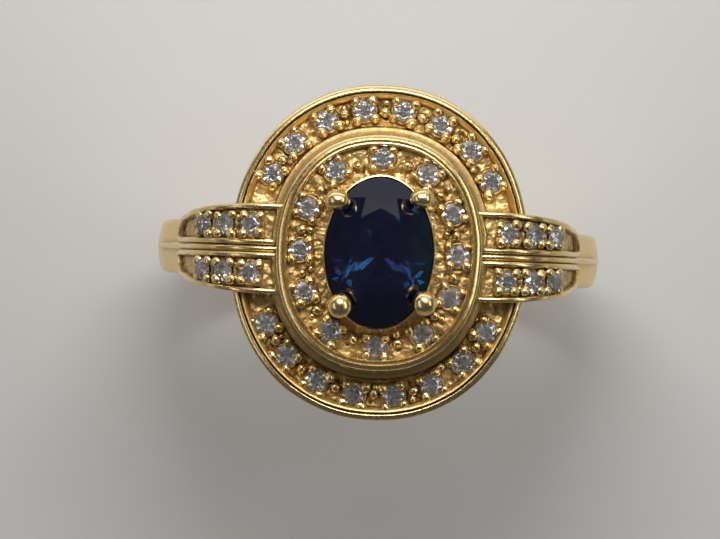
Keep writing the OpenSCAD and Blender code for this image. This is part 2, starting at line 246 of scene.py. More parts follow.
def join_shells(shells):
    """Joins (points, faces, recess) shells into one."""
    points, faces, recess = [], [], []
    for shell_points, shell_faces, shell_recess in shells:
        start = len(points)
        points += list(shell_points)
        faces += [[i + start for i in face] for face in shell_faces]
        recess += list(shell_recess)
    return points, faces, recess


def tube_faces(rings, per_ring, closed):
    """Quads between rings of points; each ring is closed, and the last meets the first if closed."""
    faces = []
    for i in range(rings if closed else rings - 1):
        for j in range(per_ring):
            a = i * per_ring
            b = (i + 1) % rings * per_ring
            k = (j + 1) % per_ring
            faces.append([a + j, b + j, b + k, a + k])
    return faces


def capped_tube_faces(rings, per_ring, mirrored):
    """A tube with both ends closed, its faces turned round if its points are mirrored."""
    faces = tube_faces(rings, per_ring, False)
    faces.append(list(range(per_ring)))
    faces.append([(rings - 1) * per_ring + j for j in reversed(range(per_ring))])
    if mirrored:
        faces = [face[::-1] for face in faces]
    return faces


def stack_faces(rings, around):
    """Quads between rings stacked upwards, with the lowest ring closed."""
    faces = []
    for j in range(rings - 1):
        for i in range(around):
            k = (i + 1) % around
            faces.append([j * around + i, j * around + k, (j + 1) * around + k, (j + 1) * around + i])
    faces.append(list(reversed(range(around))))
    return faces


# ---- materials


def new_material(name):
    material = bpy.data.materials.new(name)
    material.use_nodes = True
    nodes = material.node_tree.nodes
    return material, nodes, material.node_tree.links, nodes["Principled BSDF"]


def noise_node(nodes, links, coords, per_mm, detail, roughness=0.5):
    """A noise with about per_mm features to the millimetre."""
    node = nodes.new("ShaderNodeTexNoise")
    node.inputs["Scale"].default_value = per_mm / MM
    node.inputs["Detail"].default_value = detail
    node.inputs["Roughness"].default_value = roughness
    links.new(coords, node.inputs["Vector"])
    return node.outputs["Fac"]


def spread(nodes, links, value, low_out, high_out, low_in=0.3, high_in=0.7):
    """Maps a value onto a range, by default from the 0.3 to 0.7 that a noise mostly covers."""
    node = nodes.new("ShaderNodeMapRange")
    node.inputs["From Min"].default_value = low_in
    node.inputs["From Max"].default_value = high_in
    node.inputs["To Min"].default_value = low_out
    node.inputs["To Max"].default_value = high_out
    links.new(value, node.inputs["Value"])
    return node.outputs["Result"]


def mixed(nodes, links, factor, first, second):
    """Mixes two colours, each given as a colour or as another node's output."""
    node = nodes.new("ShaderNodeMix")
    node.data_type = "RGBA"
    links.new(factor, node.inputs[0])
    for socket, colour in ((node.inputs[6], first), (node.inputs[7], second)):
        if isinstance(colour, bpy.types.NodeSocket):
            links.new(colour, socket)
        else:
            socket.default_value = (*colour, 1)
    return node.outputs[2]


def combined(nodes, links, operation, first, second):
    """One Math node on two outputs."""
    node = nodes.new("ShaderNodeMath")
    node.operation = operation
    links.new(first, node.inputs[0])
    links.new(second, node.inputs[1])
    return node.outputs[0]


def bumped(nodes, links, height, strength, distance_mm, normal=None):
    node = nodes.new("ShaderNodeBump")
    node.inputs["Strength"].default_value = strength
    node.inputs["Distance"].default_value = distance_mm * MM
    links.new(height, node.inputs["Height"])
    if normal is not None:
        links.new(normal, node.inputs["Normal"])
    return node.outputs["Normal"]


def scratches_node(nodes, links, coords):
    """Noise drawn out into fine lines that run askew."""
    stretch = nodes.new("ShaderNodeMapping")
    stretch.inputs["Scale"].default_value = (1, 6, 1)
    stretch.inputs["Rotation"].default_value = (0.3, 0.2, 0.6)
    links.new(coords, stretch.inputs["Vector"])
    return noise_node(nodes, links, stretch.outputs["Vector"], 9, 2, 0.7)


def crevice_shade_and_patina(nodes, links, specks):
    """How much patina and painted shade a point gets, in crevices found by occlusion and in marked
    recesses, broken up by specks.
    """
    # Painted shade: ambient occlusion darkens the crevices where shade falls.
    crevice = nodes.new("ShaderNodeAmbientOcclusion")
    crevice.samples = 6
    crevice.inputs["Distance"].default_value = 0.35 * MM
    occlusion_shade = spread(nodes, links, crevice.outputs["AO"], 1.0, 0.0, 0.25, 0.95)
    recess = nodes.new("ShaderNodeAttribute")
    recess.attribute_name = "recess"
    shade_and_patina_share = combined(nodes, links, "MAXIMUM", occlusion_shade, recess.outputs["Fac"])
    return combined(nodes, links, "MULTIPLY", shade_and_patina_share, spread(nodes, links, specks, 0.55, 1.0))


def gold_material(name, colour, warm, gloss, casting, scratches, patina_and_shade_colour):
    """Yellow gold: cast waviness, fine scratches, uneven polish, and patina with painted shade in the
    recesses.

    gloss is its lowest and highest roughness, and casting and scratches are strengths of bump.
    """
    wave_mm, scratch_mm = 0.03, 0.006
    crevice_roughness = 0.22
    material, nodes, links, shader = new_material(name)
    coords = nodes.new("ShaderNodeTexCoord").outputs["Object"]
    broad = noise_node(nodes, links, coords, 0.6, 3)
    specks = noise_node(nodes, links, coords, 7, 4, 0.6)
    waves = noise_node(nodes, links, coords, 2.2, 3)
    tone = mixed(nodes, links, spread(nodes, links, broad, 0.0, 1.0), colour, warm)
    shade_and_patina_share = crevice_shade_and_patina(nodes, links, specks)
    # Patina and painted shade: the recess colour is mixed in over crevices and marked recesses.
    links.new(mixed(nodes, links, shade_and_patina_share, tone, patina_and_shade_colour), shader.inputs["Base Color"])
    dulled = nodes.new("ShaderNodeMath")
    dulled.operation = "MULTIPLY_ADD"
    links.new(shade_and_patina_share, dulled.inputs[0])
    dulled.inputs[1].default_value = crevice_roughness
    links.new(spread(nodes, links, specks, *gloss), dulled.inputs[2])
    links.new(dulled.outputs[0], shader.inputs["Roughness"])
    shader.inputs["Metallic"].default_value = 1
    cast = bumped(nodes, links, waves, casting, wave_mm)
    lines = scratches_node(nodes, links, coords)
    links.new(bumped(nodes, links, lines, scratches, scratch_mm, cast), shader.inputs["Normal"])
    return material


def gem_material(name, colour, ior, haze, haze_colour, edge_glow=None):
    """A cut stone: clear and faceted, with a milky share, haze, from wear and inclusions.

    Its last colour, if given, is a lighter one painted towards the stone's right edge, a painted glow.
    """
    glow_from, glow_to, glow_share = 1.2 * MM, 2.4 * MM, 0.9
    material, nodes, links, shader = new_material(name)
    coords = nodes.new("ShaderNodeTexCoord").outputs["Object"]
    cloud = noise_node(nodes, links, coords, 1.4, 4, 0.6)
    tint = tuple(min(1, c * 1.5 + 0.003) for c in colour)
    body = mixed(nodes, links, spread(nodes, links, cloud, 0.0, 1.0), colour, tint)
    milk = nodes.new("ShaderNodeBsdfPrincipled")
    milk.inputs["Base Color"].default_value = (*haze_colour, 1)
    milk.inputs["Roughness"].default_value = 0.35
    # Painted glow: the body and the milk turn a lighter teal towards the right edge.
    if edge_glow is not None:
        split = nodes.new("ShaderNodeSeparateXYZ")
        links.new(coords, split.inputs["Vector"])
        edge = spread(nodes, links, split.outputs["X"], 0.0, glow_share, glow_from, glow_to)
        body = mixed(nodes, links, edge, body, edge_glow)
        links.new(mixed(nodes, links, edge, haze_colour, edge_glow), milk.inputs["Base Color"])
    links.new(body, shader.inputs["Base Color"])
    shader.inputs["IOR"].default_value = ior
    shader.inputs["Transmission Weight"].default_value = 1
    links.new(spread(nodes, links, cloud, 0.0, 0.02), shader.inputs["Roughness"])
    scuffs = noise_node(nodes, links, coords, 11, 3, 0.7)
    links.new(bumped(nodes, links, scuffs, 0.06, 0.004), shader.inputs["Normal"])
    blend = nodes.new("ShaderNodeMixShader")
    links.new(spread(nodes, links, cloud, haze * 0.5, haze * 1.5), blend.inputs["Fac"])
    links.new(shader.outputs["BSDF"], blend.inputs[1])
    links.new(milk.outputs["BSDF"], blend.inputs[2])
    links.new(blend.outputs["Shader"], nodes["Material Output"].inputs["Surface"])
    return material


# The last colour of each gold is both patina and painted shade for its recesses.
GOLD = gold_material(
    "polished_gold",
    colour=(0.94, 0.71, 0.33),
    warm=(0.90, 0.63, 0.24),
    gloss=(0.19, 0.3),
    casting=0.2,
    scratches=0.08,
    patina_and_shade_colour=(0.3, 0.16, 0.05),
)
BRIGHT = gold_material(
    "bright_gold",
    colour=(0.97, 0.76, 0.38),
    warm=(0.94, 0.69, 0.3),
    gloss=(0.18, 0.3),
    casting=0.4,
    scratches=0.25,
    patina_and_shade_colour=(0.34, 0.19, 0.06),
)
ROUGH = gold_material(
    "cast_gold",
    colour=(0.89, 0.66, 0.3),
    warm=(0.8, 0.54, 0.21),
    gloss=(0.3, 0.48),
    casting=1.0,
    scratches=0.4,
    patina_and_shade_colour=(0.14, 0.066, 0.02),
)
SAPPHIRE = gem_material(
    "blue_sapphire",
    colour=(0.0006, 0.0015, 0.009),
    ior=1.77,
    haze=0.13,
    haze_colour=(0.001, 0.006, 0.1),
    # The lighter teal at the right edge is a painted glow.
    edge_glow=(0.002, 0.06, 0.11),
)
DIAMOND = gem_material(
    "small_diamond",
    colour=(0.86, 0.85, 0.84),
    ior=2.42,
    haze=0.14,
    haze_colour=(0.7, 0.67, 0.65),
)


# ---- cut stones


def regular_table(size):
    """The eight corners of a round stone's table, as shares of its half size."""
    return [(size * cos(a), size * sin(a)) for a in np.radians(np.arange(0, 360, 45))]


def brilliant(table, crown, girdle, pavilion, half, lower=0.25):
    """An eight-fold brilliant: table, stars, kites, upper and lower girdle facets, and main facets.

    table holds its corners as shares of half. The stars' outer corners lie midway between the
    table's edges and the girdle, at the height that keeps the kites beside them flat. lower is how
    far out the lower girdle facets reach, as a share of half.
    """

    def rim(turn, size=1.0):
        a = turn * pi / 4
        return Vector((half[0] * size * cos(a), half[1] * size * sin(a)))

    corners = [Vector((half[0] * x, half[1] * y)) for x, y in table]
    stars = []
    for i in range(8):
        flat = ((corners[i] + corners[(i + 1) % 8]) / 2 + rim(i + 0.5)) / 2
        heights = []
        for k in (i, i + 1):
            corner = corners[k % 8]
            slope = rim(k) - corner
            heights.append(crown * (1 - (flat - corner).dot(slope) / slope.length_squared))
        stars.append((*flat, girdle / 2 + sum(heights) / 2))
    low_z = -girdle / 2 - pavilion * (1 - lower * cos(pi / 8))
    points = [Vector((*c, girdle / 2 + crown)) for c in corners]
    points += [Vector(s) for s in stars]
    points += [Vector((*rim(i / 2), girdle / 2)) for i in range(16)]
    points += [Vector((*rim(i / 2), -girdle / 2)) for i in range(16)]
    points += [Vector((*rim(i + 0.5, lower), low_z)) for i in range(8)]
    points.append(Vector((0, 0, -girdle / 2 - pavilion)))
    star, up, down, low_ring, culet = 8, 16, 32, 48, 56
    faces = [list(range(8))]
    for i in range(8):
        k, b = (i + 1) % 8, (i + 7) % 8
        first, second, third = 2 * i, 2 * i + 1, (2 * i + 2) % 16
        faces += [
            [i, star + i, k],
            [i, star + b, up + first, star + i],
            [star + i, up + first, up + second],
            [star + i, up + second, up + third],
            [low_ring + i, down + second, down + first],
            [low_ring + i, down + third, down + second],
            [culet, low_ring + i, down + first, low_ring + b],
        ]
    for i in range(16):
        k = (i + 1) % 16
        faces.append([up + i, down + i, down + k, up + k])
    return points, faces


def centre_stone():
    """The oval stone, with a narrow pointed table and a high crown."""
    side, shoulder, apex = 0.4, (0.36, 0.45), 0.59
    table = [(side, 0), shoulder, (0, apex), (-shoulder[0], shoulder[1])]
    table += [(-side, 0), (-shoulder[0], -shoulder[1]), (0, -apex), (shoulder[0], -shoulder[1])]
    half = (STONE.x, STONE.y)
    points, faces = brilliant(table, STONE_CROWN, STONE_GIRDLE, STONE_PAVILION, half, lower=0.3)
    placed = [p + Vector((0, 0, GIRDLE_Z)) for p in points]
    add_piece("centre_stone", placed, faces, [SAPPHIRE], ["sapphire"], sharp=1)


def small_stone(node, turn_y=0.0):
    """A small brilliant in its seat, at its own spin and slight tilt. Gives its girdle's centre."""
    shares = (MELEE_CROWN, MELEE_GIRDLE, MELEE_PAVILION)
    crown, girdle, pavilion = (2 * MELEE_R * share for share in shares)
    points, faces = brilliant(regular_table(MELEE_TABLE), crown, girdle, pavilion, (MELEE_R, MELEE_R))
    tilt_x = radians(rng.uniform(-MELEE_TILT, MELEE_TILT))
    tilt_y = radians(rng.uniform(-MELEE_TILT, MELEE_TILT)) + turn_y
    spin = rng.uniform(0, pi / 4)
    tilt = Matrix.Rotation(tilt_x, 3, "X") @ Matrix.Rotation(tilt_y, 3, "Y")
    turn = tilt @ Matrix.Rotation(spin, 3, "Z")
    along = Matrix.Rotation(turn_y, 3, "Y") @ Vector((0, 0, 1))
    centre = middle(node) + along * (pavilion - crown) / 2
    placed = [centre + turn @ p for p in points]
    add_piece(node + "_cut", placed, faces, [DIAMOND], [node], sharp=1)
    return centre


# ---- rings swept round an oval


def at_level(z, section):
    """Points of a section, given as (growth, height above z)."""
    return [(growth, z + height) for growth, height in section]


def bevel(outer, top):
    """A wire's softly rounded outward bevel, from its outer edge in to its top, as (growth, height)."""
    x = outer - BEVEL_R * cos(BEVEL_FROM)
    z = top - BEVEL_R * sin(BEVEL_TO)
    angles = np.linspace(BEVEL_FROM, BEVEL_TO, BEVEL_STEPS)
    return [(x + BEVEL_R * cos(a), z + BEVEL_R * sin(a)) for a in angles]


def swept_ring(half, power, profile, waviness, seed):
    """A closed section of (growth, height) points carried round an oval, slightly uneven."""
    steps, wave_size = 420, 1.4
    points = []
    for i in range(steps):
        t = 2 * pi * i / steps
        for growth, z in profile:
            r = float(oval_radius(grown(half, growth), power, t))
            points.append(Vector((r * cos(t), r * sin(t), z)))
    points = unevenness(points, waviness, wave_size, seed)
    return points, tube_faces(steps, len(profile), True)


def outer_rim():
    """The bright wire round the outer plate, with its wall down to the gallery."""
    foot = [(-RIM_W, 0), (-0.05, 0), (-0.01, 0.04), (0, 0.12)]
    groove = [(0, -0.55), (-0.03, -0.5), (-0.03, -0.42), (0, -0.36)]
    inside = [(-0.255, -0.005), (-0.28, -0.03), (-0.295, -0.09), (-RIM_W, -0.13)]
    profile = at_level(RIM_BOTTOM, foot) + at_level(FACE, groove) + [(0, RIM_TOP - BEVEL_FOOT)]
    profile += bevel(-0.005, RIM_TOP) + at_level(RIM_TOP, inside)
    points, faces = swept_ring(OUTER, OUTER_ROUND, profile, 0.014, 1)
    add_piece("outer_rim", points, faces, [BRIGHT], ["outer_halo_rim"])


def collar():
    """The wall between the two plates, swelling slightly half way up."""
    foot = [(-COLLAR_T, -0.1), (0, -0.1), (0, 0.3), (0.015, 0.6)]
    top = [(0, -0.04), (0, 0), (-COLLAR_T, 0)]
    profile = at_level(FACE, foot) + at_level(COLLAR_TOP, top)
    points, faces = swept_ring(INNER, INNER_ROUND, profile, 0.012, 2)
    add_piece("collar", points, faces, [GOLD], ["halo_collar"])


def inner_rim():
    """The inner plate's edge: a wide bevelled wire, a groove and a thin raised line."""
    flare = [(-COLLAR_T, 0), (0, 0), (0.05, 0.12)]
    wall = [(RIM_FLARE, -0.3), (RIM_FLARE, -BEVEL_FOOT)]
    wire_inside = [(-0.185, -0.01), (-0.205, -0.05)]
    groove = [(-0.215, -0.14), (-0.245, -0.16), (-0.272, -0.13)]
    line = [(-0.29, -0.095), (-0.34, -0.08), (-0.395, -0.09), (-0.425, -0.13)]
    line += [(-0.445, -0.3), (-COLLAR_T, -0.5)]
    profile = at_level(COLLAR_TOP, flare) + at_level(INNER_TOP, wall) + bevel(0.055, INNER_TOP)
    profile += at_level(INNER_TOP, wire_inside + groove + line)
    points, faces = swept_ring(INNER, INNER_ROUND, profile, 0.016, 3)
    add_piece("inner_rim", points, faces, [BRIGHT], ["inner_halo_rim"])


def collet():
    """The oval cup under the centre stone; its lip shows as a thin line round the girdle."""
    foot = [(-1.15, -0.3), (-0.75, -0.3), (-CUP_INSET, 0)]
    lip = [(-0.08, -0.4), (0.06, -0.2), (0.1, -0.08), (0.075, -0.02), (0.03, -0.01)]
    seat = [(0.012, -0.07), (-0.06, -0.16), (-0.7, -0.8)]
    profile = at_level(INNER_BACK, foot) + [(-0.38, INNER_FACE)] + at_level(GIRDLE_Z, lip + seat)
    points, faces = swept_ring((STONE.x, STONE.y), 2, profile, 0.012, 4)
    add_piece("stone_cup", points, faces, [GOLD], ["centre_collet"])


# ---- grains, seats and rough surfaces


def blend(first, second, share):
    return first * (1 - share) + second * share


def grain(centre, radius, normal, spin, stretch):
    """A raised grain: a lumpy dome, drawn out one way by stretch, as a shell."""
    around, up = 14, 9
    foot = radians(118)
    lumpiness, lump_rate, centre_rate = 0.13, 1.3, 5
    turn = normal.to_track_quat("Z", "Y").to_matrix() @ Matrix.Rotation(spin, 3, "Z")
    points = []
    for j in range(up):
        polar = foot * (1 - j / (up - 1))
        for i in range(around):
            a = 2 * pi * i / around
            flat = sin(polar)
            p = Vector((flat * cos(a) * stretch, flat * sin(a), cos(polar)))
            lump = 1 + lumpiness * noise.noise(p * lump_rate + centre * centre_rate)
            points.append(centre + turn @ (p * radius * lump))
    return points, stack_faces(up, around), [0.0] * len(points)


def leaning(most):
    """A random direction close to +Z."""
    return Vector((rng.uniform(-most, most), rng.uniform(-most, most), 1)).normalized()


def grains_round(centre, along, level):
    """The four grains pushed over one stone's edge, on the corners of a square turned to its row."""
    beyond, sizes, lifts, stretches = (0.05, 0.12), (0.88, 1.08), (-0.02, 0.03), (1.0, 1.22)
    most_lean = 0.25
    shells = []
    for i in range(4):
        a = atan2(along[1], along[0]) + radians(45 + 90 * i)
        a += rng.uniform(-GRAIN_TURN, GRAIN_TURN)
        reach = MELEE_R + rng.uniform(*beyond)
        radius = GRAIN_R * rng.uniform(*sizes)
        x, y = centre[0] + reach * cos(a), centre[1] + reach * sin(a)
        where = Vector((x, y, level + rng.uniform(*lifts)))
        lean = leaning(most_lean)
        shells.append(grain(where, radius, lean, a, rng.uniform(*stretches)))
    return shells


def gaps_between(stones, closed):
    """The middle of each gap between neighbouring stones, and the directions along and across the row."""
    gaps = []
    for i in range(len(stones) if closed else len(stones) - 1):
        a, b = Vector(stones[i]), Vector(stones[(i + 1) % len(stones)])
        along = (b - a).normalized()
        gaps.append(((a + b) / 2, along, Vector((-along.y, along.x))))
    return gaps


def pits_between(stones, closed):
    """Places and radii of the hollows on both sides of the row, between neighbouring stones, which are
    painted dark as shade.
    """
    chance, off_row, shift, radii = 0.75, (0.16, 0.36), 0.14, (0.07, 0.13)
    pits = []
    for mid, along, across in gaps_between(stones, closed):
        for side in (-1, 1):
            if rng.random() < chance:
                where = mid + across * side * rng.uniform(*off_row) + along * rng.uniform(-shift, shift)
                pits.append((where, rng.uniform(*radii)))
    return pits


def spare_grains(stones, closed, level, centre_chance, side_chance):
    """Extra grains in the gaps between neighbouring stones: on the row's line, and beside it."""
    off_row, shift, sunk, most_lean = 0.38, 0.09, 0.05, 0.3
    centre_radii, side_radii = (0.2, 0.26), (0.12, 0.19)
    shells = []
    for mid, along, across in gaps_between(stones, closed):
        for lift, chance, radii in (
            (0.0, centre_chance, centre_radii),
            (off_row, side_chance, side_radii),
            (-off_row, side_chance, side_radii),
        ):
            if rng.random() < chance:
                flat = mid + across * (lift + rng.uniform(-shift, shift))
                flat += along * rng.uniform(-shift, shift)
                where = Vector((flat.x, flat.y, level - rng.uniform(0.0, sunk)))
                lean = leaning(most_lean)
                radius, spin = rng.uniform(*radii), rng.uniform(0, 3)
                shells.append(grain(where, radius, lean, spin, rng.uniform(1, 1.3)))
    return shells


def row_grains(stones, closed, level, centre_chance, side_chance):
    """The grains of a row: four round each stone, then the spare ones between the stones."""
    count = len(stones)
    shells = []
    for i, centre in enumerate(stones):
        before = Vector(stones[i - 1 if closed else max(i - 1, 0)])
        after = Vector(stones[(i + 1) % count if closed else min(i + 1, count - 1)])
        shells += grains_round(centre, after - before, level)
    return shells + spare_grains(stones, closed, level, centre_chance, side_chance)


def rough_surface(points, level, lumps, specks, stains, seed):
    """Heights of a rough cast surface about a level, and how dark it is.

    lumps and specks are (height, size) of its roughness, and stains is the stains' extra darkness.
    """
    everywhere, stain_size, clean_above, full_below = 0.25, 0.3, 0.1, -0.4
    z = level + lumps[0] * clouds(points, lumps[1], seed) + specks[0] * clouds(points, specks[1], seed + 1)
    dark = everywhere + stains * smooth(clean_above, full_below, clouds(points, stain_size, seed + 2))
    return z, dark


def sink_seats(xy, z, dark, stones, pits, level):
    """Sinks the stones' seats, each with a low lip round it, and the pits into a surface, and paints shade
    into the seats' bowls and the pits.
    """
    for centre in stones:
        rho = np.hypot(xy[:, 0] - centre[0], xy[:, 1] - centre[1])
        lip = smooth(MELEE_R + LIP_FROM, MELEE_R + LIP_TO, rho)
        z = np.maximum(z, blend(z, level - LIP_DROP, lip))
        bowl = level - BOWL_DROP - BOWL_DEPTH * smooth(BOWL_TOP_R, BOWL_FLOOR_R, rho)
        inside = smooth(MELEE_R + BOWL_EDGE, MELEE_R - BOWL_EDGE, rho)
        z = blend(z, bowl, inside)
        # Painted shade in the bowl under the stone.
        dark = np.maximum(dark, inside * BOWL_SHADE)
    for pit, radius in pits:
        rho = np.hypot(xy[:, 0] - pit[0], xy[:, 1] - pit[1])
        well = np.exp(-((rho / radius) ** 2))
        z = z - PIT_DEPTH * well
        # Painted shade in the pit.
        dark = np.maximum(dark, PIT_SHADE_STRENGTH * smooth(*PIT_SHADE, well))
    return z, dark


def grained_piece(name, node, rough_shell, grains):
    """A piece made of a rough plate and its bright grains."""
    points, faces, recess = join_shells([rough_shell] + grains)
    rough_faces = len(rough_shell[1])
    indices = [0] * rough_faces + [1] * (len(faces) - rough_faces)
    add_piece(name, points, faces, [ROUGH, BRIGHT], [node], 60, recess, indices)


# ---- stone-set plates


def plate_grid(inner, outer, around):
    """Points between two ovals of (half sizes, roundness), and their distances from both."""
    t = np.linspace(0, 2 * pi, around, endpoint=False)
    inside = oval_radius(*inner, t)[:, None]
    outside = oval_radius(*outer, t)[:, None]
    r = blend(inside, outside, np.linspace(0, 1, PLATE_ACROSS))
    x, y = r * np.cos(t)[:, None], r * np.sin(t)[:, None]
    xy = np.stack([x.ravel(), y.ravel()], axis=1)
    return xy, (r - inside).ravel(), (outside - r).ravel()


def plate_shell(xy, z, dark, back):
    """A closed plate from the grid of its top, with a flat back."""
    points, recess = [], []
    for first in range(0, len(xy), PLATE_ACROSS):
        last = first + PLATE_ACROSS - 1
        for i in range(first, last + 1):
            points.append(Vector((xy[i, 0], xy[i, 1], z[i])))
            recess.append(float(dark[i]))
        for i in (last, first):
            points.append(Vector((xy[i, 0], xy[i, 1], back)))
            recess.append(0.0)
    return points, tube_faces(len(xy) // PLATE_ACROSS, PLATE_ACROSS + 2, True), recess


def outer_surface(xy, from_in, from_out, stones, pits):
    """The outer plate's top: groove and thin ledge inside the wire, rough trench, cove at the collar with
    painted shade.
    """
    cove_shade, cove_lift, cove_steepest, cove_end = 0.55, 0.02, 0.995, (0.05, -0.02)
    ledge_lift, ledge_drop, ledge_wave, ledge_slope = 0.22, 0.2, 0.015, (0.1, 0.4)
    ledge_start, ledge_end = (0.02, 0.06), (0.38, 0.3)
    groove_lift, groove_end = 0.18, (0.045, 0.015)
    flat = np.column_stack([xy, np.zeros(len(xy))])
    z, dark = rough_surface(flat, FACE - TRENCH, (0.05, 0.32), (0.025, 0.12), 0.5, 5)
    z, dark = sink_seats(xy, z, dark, stones, pits, FACE)
    reach = np.clip(COVE_R - from_in, 0, COVE_R * cove_steepest)
    cove = FACE + cove_lift + COVE_R - np.sqrt(COVE_R**2 - reach**2)
    in_cove = smooth(*cove_end, from_in - COVE_R)
    z = blend(z, cove, in_cove)
    # Painted shade: the cove along the collar's foot is darkened.
    dark = blend(dark, cove_shade, in_cove)
    ledge = FACE + ledge_lift + ledge_wave * clouds(flat, 1.0, 8)
    ledge -= ledge_drop * smooth(*ledge_slope, from_out)
    on_ledge = smooth(*ledge_end, from_out) * smooth(*ledge_start, from_out)
    z = blend(z, np.maximum(z, ledge), on_ledge)
    z = blend(z, FACE + groove_lift, smooth(*groove_end, from_out))
    return z, dark * (1 - on_ledge)


def outer_plate(stones):
    """The outer plate with its seats and grains; stones holds the upper and the lower row."""
    around, under_collar = 1100, 0.03
    all_stones = stones["upper"] + stones["lower"]
    pits = pits_between(stones["upper"], False) + pits_between(stones["lower"], False)
    inner = (grown(INNER, -under_collar), INNER_ROUND)
    outer = (grown(OUTER, STEP - RIM_W), OUTER_ROUND)
    xy, from_in, from_out = plate_grid(inner, outer, around)
    z, dark = outer_surface(xy, from_in, from_out, all_stones, pits)
    grains = []
    for row in ROWS:
        grains += row_grains(stones[row], False, FACE, centre_chance=0.75, side_chance=0.4)
    grained_piece("outer_plate", "outer_halo_plate", plate_shell(xy, z, dark, BACK), grains)


def inner_plate(stones):
    """Inner plate: a sunk rough panel with stones and grains round the centre stone's cup."""
    around, under_rim = 760, 0.45
    pits = pits_between(stones, True)
    inner = (grown((STONE.x, STONE.y), -CUP_INSET), 2)
    outer = (grown(INNER, -under_rim), INNER_ROUND)
    xy, _, _ = plate_grid(inner, outer, around)
    flat = np.column_stack([xy, np.zeros(len(xy))])
    z, dark = rough_surface(flat, INNER_FACE - TRENCH, (0.06, 0.3), (0.025, 0.11), 0.5, 15)
    z, dark = sink_seats(xy, z, dark, stones, pits, INNER_FACE)
    grains = row_grains(stones, True, INNER_FACE, centre_chance=1.0, side_chance=0.4)
    grained_piece("inner_plate", "inner_halo_plate", plate_shell(xy, z, dark, INNER_BACK), grains)


# ---- claws


def ball_centre(node):
    """The middle of a claw's ball in plan: one radius in from its box's outer corner."""
    first, last = low(node), high(node)
    return Vector([last[k] - CLAW_BALL_R if last[k] > 0 else first[k] + CLAW_BALL_R for k in (0, 1)])


def claw(node, row):
    """A wire rising outside the girdle, then folded over the crown as a polished drop."""
    around, ball_rings = 44, 14
    ball_foot, under_share, over_share, ball_lift = 112, 0.35, 0.9, 0.04
    wide, deep = (1.08, 0.86) if row == "upper" else (1.05, 1.05)
    centre = ball_centre(node)
    outward = centre.normalized()
    middle_z = high(node).z - CLAW_BALL_R
    # Each station holds its height, its radius and how far it stands outside the ball's middle.
    stations = [
        (INNER_FACE - 0.3, 0.30, 0.30),
        (GIRDLE_Z - 0.1, 0.28, 0.32),
        (GIRDLE_Z + 0.15, 0.28, 0.26),
        (middle_z - 0.2, 0.36, 0.12),
    ]
    for i in range(ball_rings):
        polar = radians(ball_foot * (1 - i / (ball_rings - 1)))
        share = under_share if polar > pi / 2 else over_share
        z = middle_z + ball_lift + CLAW_BALL_R * share * cos(polar)
        stations.append((z, CLAW_BALL_R * sin(polar), 0.0))
    points = []
    for z, r, lean in stations:
        on_ball = smooth(middle_z - 0.25, middle_z, z)
        for i in range(around):
            a = 2 * pi * i / around
            x = r * cos(a) * (1 + (wide - 1) * on_ball)
            y = r * sin(a) * (1 + (deep - 1) * on_ball)
            points.append(Vector((centre.x + x + lean * outward.x, centre.y + y + lean * outward.y, z)))
    points = unevenness(points, amount=0.035, size=0.6, seed=centre.x + centre.y)
    faces = stack_faces(len(stations), around)
    faces.append(list(range(len(points) - around, len(points))))
    add_piece(node + "_drop", points, faces, [BRIGHT], [node], sharp=70)


# ---- shoulders and band


def on_path(s):
    """The right bars' top in the XZ plane at a length: x, z and its normal's angle from +Z."""
    if s < PATH_FLAT:
        return PATH_START + s, BAR_TOP, 0.0
    a = min((s - PATH_FLAT) / BEND_R, BEND_TURN)
    rest = max(0.0, s - PATH_FLAT - PATH_BEND)
    x = BEND_X + BEND_R * sin(a) + rest * cos(BEND_TURN)
    z = BEND_Z + BEND_R * cos(a) - rest * sin(BEND_TURN)
    return x, z, a


def band_half(z):
    """Half width of the band at a height, from the palm side up to the head."""
    if z > BAR_END_Z:
        share = (z - BAR_END_Z) / (BAR_TOP - BAR_END_Z)
        return BAR_END_HALF + (HEAD_HALF - BAR_END_HALF) * share**HEAD_CURVE
    share = max(0.0, z + BAND_R) / (BAR_END_Z + BAND_R)
    return PALM_HALF + (BAR_END_HALF - PALM_HALF) * share**PALM_CURVE


def bar_limits(s):
    """How near to and how far from the rib's middle a bar reaches at a length."""
    least_w, inner_cut, inner_power, outer_power = 0.08, 0.1, 4, 2.3
    wide = band_half(on_path(s)[1]) - BAR_INNER
    into_tip = max(0.0, (s - (PATH_LENGTH - BAR_TIP)) / BAR_TIP)
    round_off = sqrt(max(0.0, 1 - into_tip**outer_power))
    nearest = BAR_INNER + inner_cut * into_tip**inner_power
    return nearest, BAR_INNER + least_w + (wide - least_w) * round_off


def bar_grid():
    """Lengths and widths of a bar's top as two grids, starting along the collar's curve."""
    s_grid = np.zeros((BAR_ALONG, BAR_ACROSS))
    y_grid = np.zeros((BAR_ALONG, BAR_ACROSS))
    for j in range(BAR_ACROSS):
        v = j / (BAR_ACROSS - 1)
        y_share = (BAR_INNER + v * (BAR_OUTER - BAR_INNER)) / INNER[1]
        collar_x = INNER[0] * max(0.0, 1 - y_share**INNER_ROUND) ** (1 / INNER_ROUND)
        s_start = collar_x + COLLAR_GAP - PATH_START
        for i in range(BAR_ALONG):
            s = s_start + (PATH_LENGTH - s_start) * i / (BAR_ALONG - 1)
            near, far = bar_limits(max(s, 0.0))
            s_grid[i, j] = s
            y_grid[i, j] = near + v * (far - near)
    return s_grid, y_grid


def inset_from_edge(s_grid, y_grid):
    """Each grid point's distance from the nearest point of the grid's edge."""
    sides = [(slice(None), 0), (-1, slice(None)), (slice(None), -1), (0, slice(None))]
    edge_s = np.concatenate([s_grid[side] for side in sides])
    edge_y = np.concatenate([y_grid[side] for side in sides])
    s, y = s_grid.ravel()[:, None], y_grid.ravel()[:, None]
    return np.min(np.hypot(s - edge_s, y - edge_y), axis=1)


